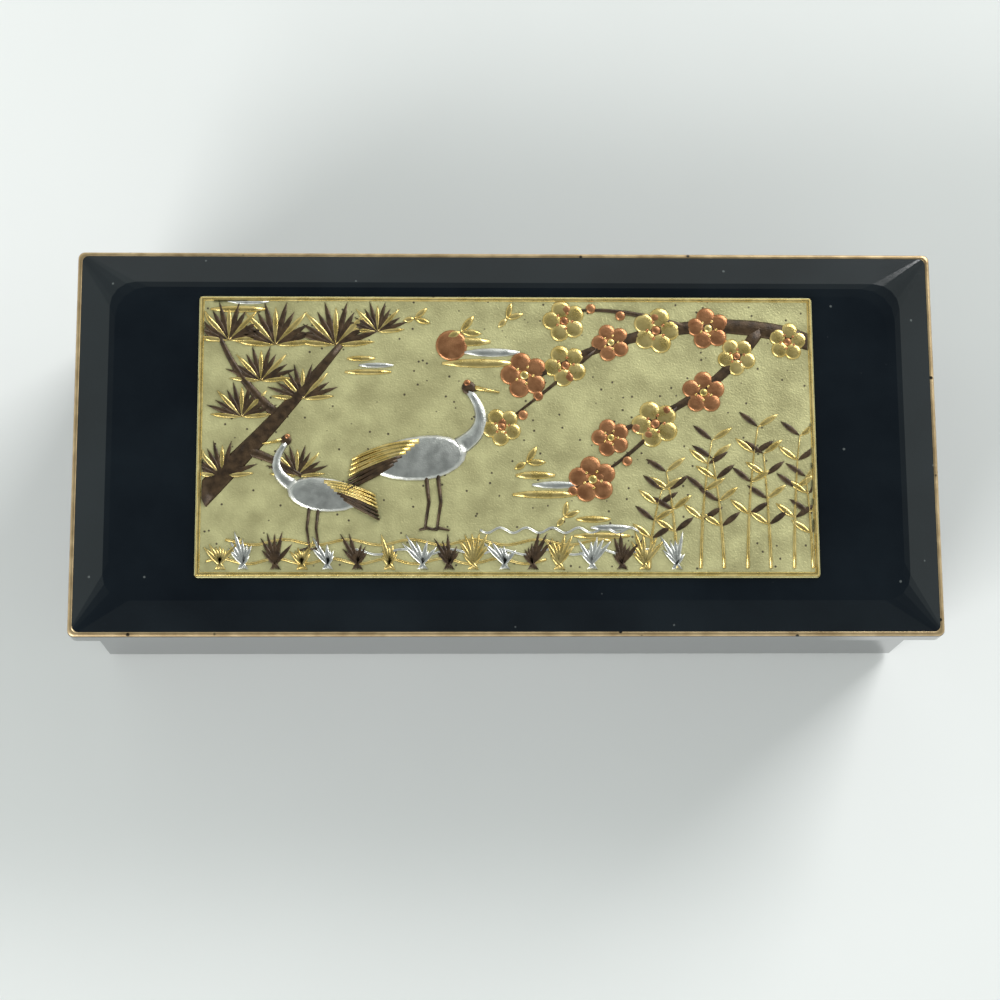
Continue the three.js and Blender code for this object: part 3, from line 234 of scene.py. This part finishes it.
gold_paint = material("gold_paint", (0.42, 0.29, 0.15), (0.62, 0.46, 0.26), 260, (0.25, 0.45), 0.7,
                      bump=0.2, fine=1800)
add_specks(*gold_paint, colour=(0.02, 0.015, 0.01), scale=230, size=0.07)
relief_brown = material("relief_brown", (0.035, 0.020, 0.010), (0.085, 0.050, 0.024), 700, (0.35, 0.5),
                        0.4, bump=0.4, fine=3500)[0]
relief_copper = material("relief_copper", (0.38, 0.16, 0.07), (0.55, 0.26, 0.12), 500, (0.28, 0.42),
                         0.8, bump=0.3, fine=3500)[0]
relief_gold = material("relief_gold", (0.62, 0.45, 0.14), (0.82, 0.64, 0.26), 500, (0.22, 0.34), 0.8,
                       bump=0.3, fine=3500)[0]
relief_silver = material("relief_silver", (0.55, 0.55, 0.52), (0.74, 0.74, 0.70), 500, (0.25, 0.38),
                         0.8, bump=0.3, fine=3500)[0]


def finish_piece(name, bm, finish, body):
    """Turns a bmesh into a smooth piece that rides on a body."""
    bmesh.ops.recalc_face_normals(bm, faces=bm.faces)
    mesh = bpy.data.meshes.new(name)
    bm.to_mesh(mesh)
    bm.free()
    mesh.shade_smooth()
    mesh.materials.append(finish)
    obj = bpy.data.objects.new(name, mesh)
    bpy.context.collection.objects.link(obj)
    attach(obj, body)
    return obj


def bridge_rings(bm, rings, closed=False):
    """Joins rings of vertices into a skin, and the last ring to the first where it is closed."""
    count = len(rings[0])
    following = rings[1:] + rings[:1] if closed else rings[1:]
    for low, high in zip(rings, following):
        for i in range(count):
            j = (i + 1) % count
            bm.faces.new((low[i], low[j], high[j], high[i]))


# Gold line
# A painted line on the small chamfer round the lid's upper edge. It has a slight body of its own.
lid_low, lid_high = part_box("lid_board")
SKIRT = 5.7 * MM
LINE_RADIUS = 1.4 * MM
arris = lid_low.z + SKIRT


def line_ring(bm, inset, z, corner_steps=6):
    """One loop round the lid at a height, that far in from its sides."""
    half_x = lid_high.x - inset
    half_y = lid_high.y - inset
    ring = []
    for corner, (sx, sy) in enumerate(((1, 1), (-1, 1), (-1, -1), (1, -1))):
        for step in range(corner_steps + 1):
            angle = (corner + step / corner_steps) * math.pi / 2
            ring.append(bm.verts.new((
                sx * (half_x - LINE_RADIUS) + LINE_RADIUS * math.cos(angle),
                sy * (half_y - LINE_RADIUS) + LINE_RADIUS * math.sin(angle), z)))
    return ring


LINE_SECTION = ((0.06, -0.42), (0.14, -0.16), (0.34, 0.0), (0.6, 0.07),
                (0.98, 0.12), (1.0, 0.02), (0.6, -0.12), (0.2, -0.42))
line = bmesh.new()
line_rings = [line_ring(line, inset * MM, arris + lift * MM) for inset, lift in LINE_SECTION]
bridge_rings(line, line_rings, closed=True)
finish_piece("gold_line", line, gold_paint[0], "lid")

# Plate ornament
# Low relief of plum blossom, pine, bamboo and a pair of cranes, cast with the plate in four tones.
plate_low, plate_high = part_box("engraved_plate")
plate_middle = (plate_low + plate_high) / 2
plate_top = plate_high.z
tones = {tone: bmesh.new() for tone in ("brown", "copper", "gold", "silver")}
BORDER = 1.25 * MM
reach_x = (plate_high.x - plate_low.x) / 2 - BORDER
reach_y = (plate_high.y - plate_low.y) / 2 - BORDER
drawn = random.Random(7)


def on_plate(x, y, lift):
    """A point in millimetres from the plate's middle, kept inside its border, lifted off the plate."""
    return (plate_middle.x + max(-reach_x, min(reach_x, x * MM)),
            plate_middle.y + max(-reach_y, min(reach_y, y * MM)), plate_top + lift * MM)


def raised(tone, outline, height, sink=0.06):
    """A closed outline, in millimetres from the plate's middle, as a low crowned form."""
    bm = tones[tone]
    cx = sum(p[0] for p in outline) / len(outline)
    cy = sum(p[1] for p in outline) / len(outline)
    rings = []
    for share, lift in ((1.0, -sink), (1.0, height * 0.35), (0.85, height * 0.8), (0.5, height)):
        rings.append([bm.verts.new(on_plate(cx + (x - cx) * share, cy + (y - cy) * share, lift))
                      for x, y in outline])
    bridge_rings(bm, rings)
    bm.faces.new(rings[-1])
    bm.faces.new(list(reversed(rings[0])))


def leaf(tone, x, y, angle, length, width, height=0.28, points=7):
    """A pointed blade that starts at x, y."""
    outline = []
    for side in (1, -1):
        for i in range(points):
            share = i / points if side > 0 else 1 - i / points
            half = width / 2 * math.sin(math.pi * share) ** 0.8 * side
            outline.append((length * share, half))
    turned = [(x + u * math.cos(angle) - v * math.sin(angle),
               y + u * math.sin(angle) + v * math.cos(angle)) for u, v in outline]
    raised(tone, turned, height)


def disc(tone, x, y, radius, height=0.3, points=14):
    """A round button."""
    raised(tone, [(x + radius * math.cos(i * math.tau / points),
                   y + radius * math.sin(i * math.tau / points)) for i in range(points)], height)


def blossom(tone, heart, x, y, radius, turn):
    """Five round petals about a small heart with stamens."""
    for petal in range(5):
        angle = turn + petal * math.tau / 5
        px = x + radius * 0.56 * math.cos(angle)
        py = y + radius * 0.56 * math.sin(angle)
        disc(tone, px, py, radius * 0.42, 0.42)
        disc(heart, x + radius * 0.36 * math.cos(angle + 0.6), y + radius * 0.36 * math.sin(angle + 0.6),
             radius * 0.07, 0.62, 8)
    disc(heart, x, y, radius * 0.2, 0.6, 10)


def stroke(tone, path, widths, height=0.3):
    """A crowned strip along a path, with its own width at each point."""
    bm = tones[tone]
    rings = []
    for i, (x, y) in enumerate(path):
        ahead = path[min(i + 1, len(path) - 1)]
        behind = path[max(i - 1, 0)]
        along = Vector((ahead[0] - behind[0], ahead[1] - behind[1])).normalized()
        half = widths[i] / 2
        section = ((-half, -0.06), (-half * 0.7, height * 0.7), (0, height),
                   (half * 0.7, height * 0.7), (half, -0.06))
        rings.append([bm.verts.new(on_plate(x - along.y * u, y + along.x * u, z)) for u, z in section])
    bridge_rings(bm, rings)
    bm.faces.new(rings[-1])
    bm.faces.new(list(reversed(rings[0])))


def curve(start, bend, end, count=14):
    """Points on a quadratic curve."""
    made = []
    for i in range(count):
        t = i / (count - 1)
        made.append(tuple((1 - t) ** 2 * a + 2 * t * (1 - t) * b + t * t * c
                          for a, b, c in zip(start, bend, end)))
    return made


def tapered(path, wide, narrow):
    """Widths that go evenly from one to the other along a path."""
    return [wide + (narrow - wide) * i / (len(path) - 1) for i in range(len(path))]


def branch(start, bend, end, wide, narrow=0.3):
    """A bough that thins along a curve; it gives back its points, so that blossoms can sit on them."""
    path = curve(start, bend, end)
    stroke("brown", path, tapered(path, wide, narrow), 0.36)
    return path


def pine_tuft(x, y, radius):
    """Needles that fan out over half a circle."""
    for i in range(13):
        angle = math.radians(5 + i * 170 / 12)
        leaf("brown" if i % 3 else "gold", x, y, angle,
             radius * (0.85 + 0.15 * (i % 2)), radius * 0.13, 0.3, 4)


def crane(x, y, size, facing):
    """A standing crane: body, folded wing feathers, neck, head, bill and legs."""
    def at(u, v):
        return (x + facing * u * size, y + v * size)

    body = []
    for i in range(20):
        angle = i * math.tau / 20
        rear = 1.15 if math.cos(angle) < 0 else 0.9
        body.append(at(math.cos(angle) * rear, 0.48 * math.sin(angle) + 0.1 * math.cos(angle)))
    raised("silver", body if facing > 0 else list(reversed(body)), 0.55)
    neck = curve(at(0.75, 0.25), at(1.55, 0.7), at(0.95, 1.45), 12)
    stroke("silver", neck, tapered(neck, 0.42 * size, 0.17 * size), 0.5)
    disc("brown", *at(0.95, 1.52), 0.15 * size, 0.5)
    disc("copper", *at(0.92, 1.62), 0.08 * size, 0.6, 8)
    bill = [at(1.05, 1.53), at(1.3, 1.48), at(1.6, 1.42)]
    stroke("gold", bill, tapered(bill, 0.12 * size, 0.03 * size), 0.4)
    for i in range(7):
        tail = curve(at(-0.1 - i * 0.09, 0.34 - i * 0.08), at(-0.9, 0.3 - i * 0.1),
                     at(-1.5 - i * 0.02, -0.05 - i * 0.11), 7)
        stroke("brown" if i > 3 else "gold", tail, tapered(tail, 0.17 * size, 0.06 * size), 0.66)
    for u in (0.05, 0.3):
        leg = [at(u, -0.38), at(u + 0.06, -0.95), at(u - 0.02, -1.5)]
        stroke("brown", leg, tapered(leg, 0.1 * size, 0.06 * size), 0.35)
        foot = [at(u - 0.14, -1.54), at(u + 0.02, -1.5), at(u + 0.24, -1.55)]
        stroke("brown", foot, [0.05 * size, 0.08 * size, 0.04 * size], 0.3)


def plover(x, y, size, angle):
    """A small bird in flight: two wings and a tail."""
    for turn, length in ((0.5, 1.0), (-0.5, 1.0), (math.pi, 0.7)):
        leaf("gold", x, y, angle + turn, size * length, size * 0.34, 0.35, 5)


def reed(x, y, lean, height):
    """A bamboo cane with pairs of leaves."""
    path = curve((x, y), (x + lean * 0.2, y + height * 0.6), (x + lean, y + height), 10)
    stroke("gold", path, tapered(path, 0.75, 0.2), 0.28)
    for i in (3, 5, 7, 9):
        for side in (1, -1):
            leaf("gold" if (i + side) % 4 else "brown", *path[i],
                 math.pi / 2 - side * 0.95 - lean * 0.02, 5.2, 1.25, 0.26, 5)


def cloud(x, y, size):
    """A drifting bank of cloud, as rounded bars that overlap."""
    widths = [share * size for share in (0.08, 0.24, 0.28, 0.24, 0.08)]
    for i, (shift, span) in enumerate(((0, 1.0), (0.35, 0.75), (-0.3, 0.6))):
        bar = [(x + (shift + (t - 0.5) * span * 2) * size, y + i * 0.3 * size)
               for t in (0, 0.25, 0.5, 0.75, 1)]
        stroke("silver" if i == 1 else "gold", bar, widths, 0.24)


# A plum tree from the upper right, pine at the left, bamboo at the lower right, water along the foot.
main_bough = branch((66, 21), (38, 31), (4, 12), 4.4, 1.4)
low_bough = branch((55, 24), (44, 6), (20, 0), 3.0, 0.9)
high_twig = branch(main_bough[6], (22, 30), (10, 27), 1.6)
hanging_twig = branch(low_bough[8], (24, -8), (13, -12), 1.3)
end_twig = branch(main_bough[10], (4, 6), (-2, 2), 1.1)
blooms = main_bough[1::2] + low_bough[2::2] + high_twig[4::4] + hanging_twig[5::4] + end_twig[6::6]
blooms += [(31, 15), (48, 12), (60, 11), (62, 27), (26, 26), (36, -3)]
CLOSEST = 8.6
kept = []
for x, y in blooms:
    place = (max(-61, min(61, x + drawn.uniform(-2, 2))),
             max(-26, min(25.5, y + drawn.uniform(-2, 2))))
    if all(math.dist(place, other) > CLOSEST for other in kept):
        kept.append(place)
for i, (x, y) in enumerate(kept):
    blossom("copper" if i % 2 else "gold", "gold" if i % 2 else "copper", x, y, 4.3 + 0.5 * (i % 3),
            drawn.uniform(0, 1))
for x, y in high_twig[3::3] + hanging_twig[3::3] + end_twig[3::3] + low_bough[9::2]:
    disc("copper", x + drawn.uniform(-1, 1), y + drawn.uniform(-1, 1), 1.1, 0.45, 10)

branch((-66, -14), (-50, 2), (-36, 20), 5.4, 1.6)
branch((-57, -3), (-50, -5), (-44, -9), 2.6, 1.0)
branch((-50, 5), (-58, 12), (-62, 22), 2.4, 1.0)
for x, y, radius in ((-60, 21, 9), (-50, 20, 10), (-37, 20, 10), (-44, 8, 8), (-45, -9, 7), (-57, 4, 8),
                     (-61, -9, 8), (-28, 23, 7), (-53, 12, 8)):
    pine_tuft(x, y, radius)
crane(-18, -5, 10.2, 1)
crane(-40, -13, 7.8, -1)
for x, lean, height in ((30, 3, 17), (36, -2, 21), (41, 3, 28), (46, -2, 24), (51, 3, 31), (56, -1, 25),
                        (61, 2, 29), (65, -1, 20)):
    reed(x, -29, lean, height)
for x, y, size, angle in ((-10, 23, 4.6, 0.4), (0, 26, 3.8, 0.8), (-20, 26, 3.6, 0.2),
                          (4, -6, 4.2, 0.5), (12, -18, 3.6, 0.9)):
    plover(x, y, size, angle)
for x, y, size in ((-6, 16, 8), (8, -13, 7), (-58, 28, 6), (-30, 14, 5), (20, -22, 6)):
    cloud(x, y, size)
disc("copper", -12, 20, 3.4, 0.3, 28)
for row, (x0, x1, y) in enumerate(((-64, 8, -27.5), (-34, 30, -25.5), (-60, 22, -23.4), (-6, 28, -20.8))):
    wave = [(x0 + (x1 - x0) * i / 48, y + 0.6 * math.sin(i * 0.8 + row)) for i in range(49)]
    stroke("silver" if row % 2 else "gold", wave, [0.6] * len(wave), 0.24)
for i in range(17):
    x = -63 + i * 6.1 + drawn.uniform(-1, 1)
    for blade in range(7):
        leaf("silver" if i % 3 == 1 else "brown" if i % 3 else "gold", x + blade * 0.4, -29.4,
             math.radians(50 + blade * 14), drawn.uniform(4, 9), 1.0, 0.3, 4)

for tone, finish in (("brown", relief_brown), ("copper", relief_copper), ("gold", relief_gold),
                     ("silver", relief_silver)):
    finish_piece("relief_" + tone, tones[tone], finish, "lid")

# Plate rim
# A bright bevelled border that frames the ornament, worn on its outer edge.
RIM_SECTION = ((0.15, -0.35), (0.3, 0.02), (0.55, 0.2), (0.95, 0.2), (1.15, -0.05), (0.7, -0.3))
rim = bmesh.new()
rim_rings = []
for inset, lift in RIM_SECTION:
    half_x = (plate_high.x - plate_low.x) / 2 - inset * MM
    half_y = (plate_high.y - plate_low.y) / 2 - inset * MM
    rim_rings.append([rim.verts.new((
        plate_middle.x + sx * half_x, plate_middle.y + sy * half_y, plate_top + lift * MM))
        for sx, sy in ((1, 1), (-1, 1), (-1, -1), (1, -1))])
bridge_rings(rim, rim_rings, closed=True)
finish_piece("plate_rim", rim, relief_gold, "lid").data.shade_flat()

# Ring cushion
# Four rolls of foam in velvet, side by side, that grip a ring's band in the slits between them.
cushion_low, cushion_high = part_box("ring_cushion")
ROLLS = 4
ACROSS, ALONG, BENEATH = 96, 60, 12
SLIT_SHARE = 0.4
END_DROP = 0.18
PUCKER = 0.012
cushion = bmesh.new()
width = cushion_high.x - cushion_low.x
length = cushion_high.y - cushion_low.y
height = cushion_high.z - cushion_low.z


def roll_height(share_x, share_y):
    """The cushion's height: round over each roll, lower towards the ends, with soft puckers."""
    within = share_x * ROLLS % 1
    round_over = math.sqrt(max(0.0, 1 - (2 * within - 1) ** 2))
    crown = 1 - END_DROP * abs(2 * share_y - 1) ** 4
    pucker = PUCKER * math.sin(share_y * 61 + share_x * 17) * (1 - round_over)
    return height * (1 - SLIT_SHARE * (1 - round_over) + pucker) * crown


cushion_rings = []
for row in range(ALONG + 1):
    share_y = row / ALONG
    y = cushion_low.y + length * share_y
    ring = [cushion.verts.new((cushion_low.x + width * i / BENEATH, y, cushion_low.z))
            for i in range(BENEATH + 1)]
    for i in range(ACROSS, -1, -1):
        share_x = i / ACROSS
        ring.append(cushion.verts.new((cushion_low.x + width * share_x, y,
                                       cushion_low.z + roll_height(min(share_x, 0.99999), share_y))))
    cushion_rings.append(ring)
bridge_rings(cushion, cushion_rings)
cushion.faces.new(cushion_rings[-1])
cushion.faces.new(list(reversed(cushion_rings[0])))
cushion_piece = finish_piece("ring_cushion_velvet", cushion, finishes["velvet"], "case")
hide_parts("ring_cushion")

# Felt pads
# Thin felt discs glued under the corners, their lower edge rounded by use.
PAD_SIDES = 32
for place in ("front_left", "front_right", "back_left", "back_right"):
    low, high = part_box("foot_pad_" + place)
    middle = (low + high) / 2
    radius = (high.x - low.x) / 2
    pad = bmesh.new()
    pad_rings = []
    for share, z in ((0.86, low.z), (0.96, low.z + 0.12 * MM), (1.0, low.z + 0.4 * MM), (1.0, high.z)):
        pad_rings.append([pad.verts.new((middle.x + radius * share * math.cos(i * math.tau / PAD_SIDES),
                                         middle.y + radius * share * math.sin(i * math.tau / PAD_SIDES), z))
                          for i in range(PAD_SIDES)])
    bridge_rings(pad, pad_rings)
    pad.faces.new(pad_rings[-1])
    pad.faces.new(list(reversed(pad_rings[0])))
    pad_piece = finish_piece("felt_pad_" + place, pad, finishes["felt"], "case")
    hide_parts("foot_pad_" + place)
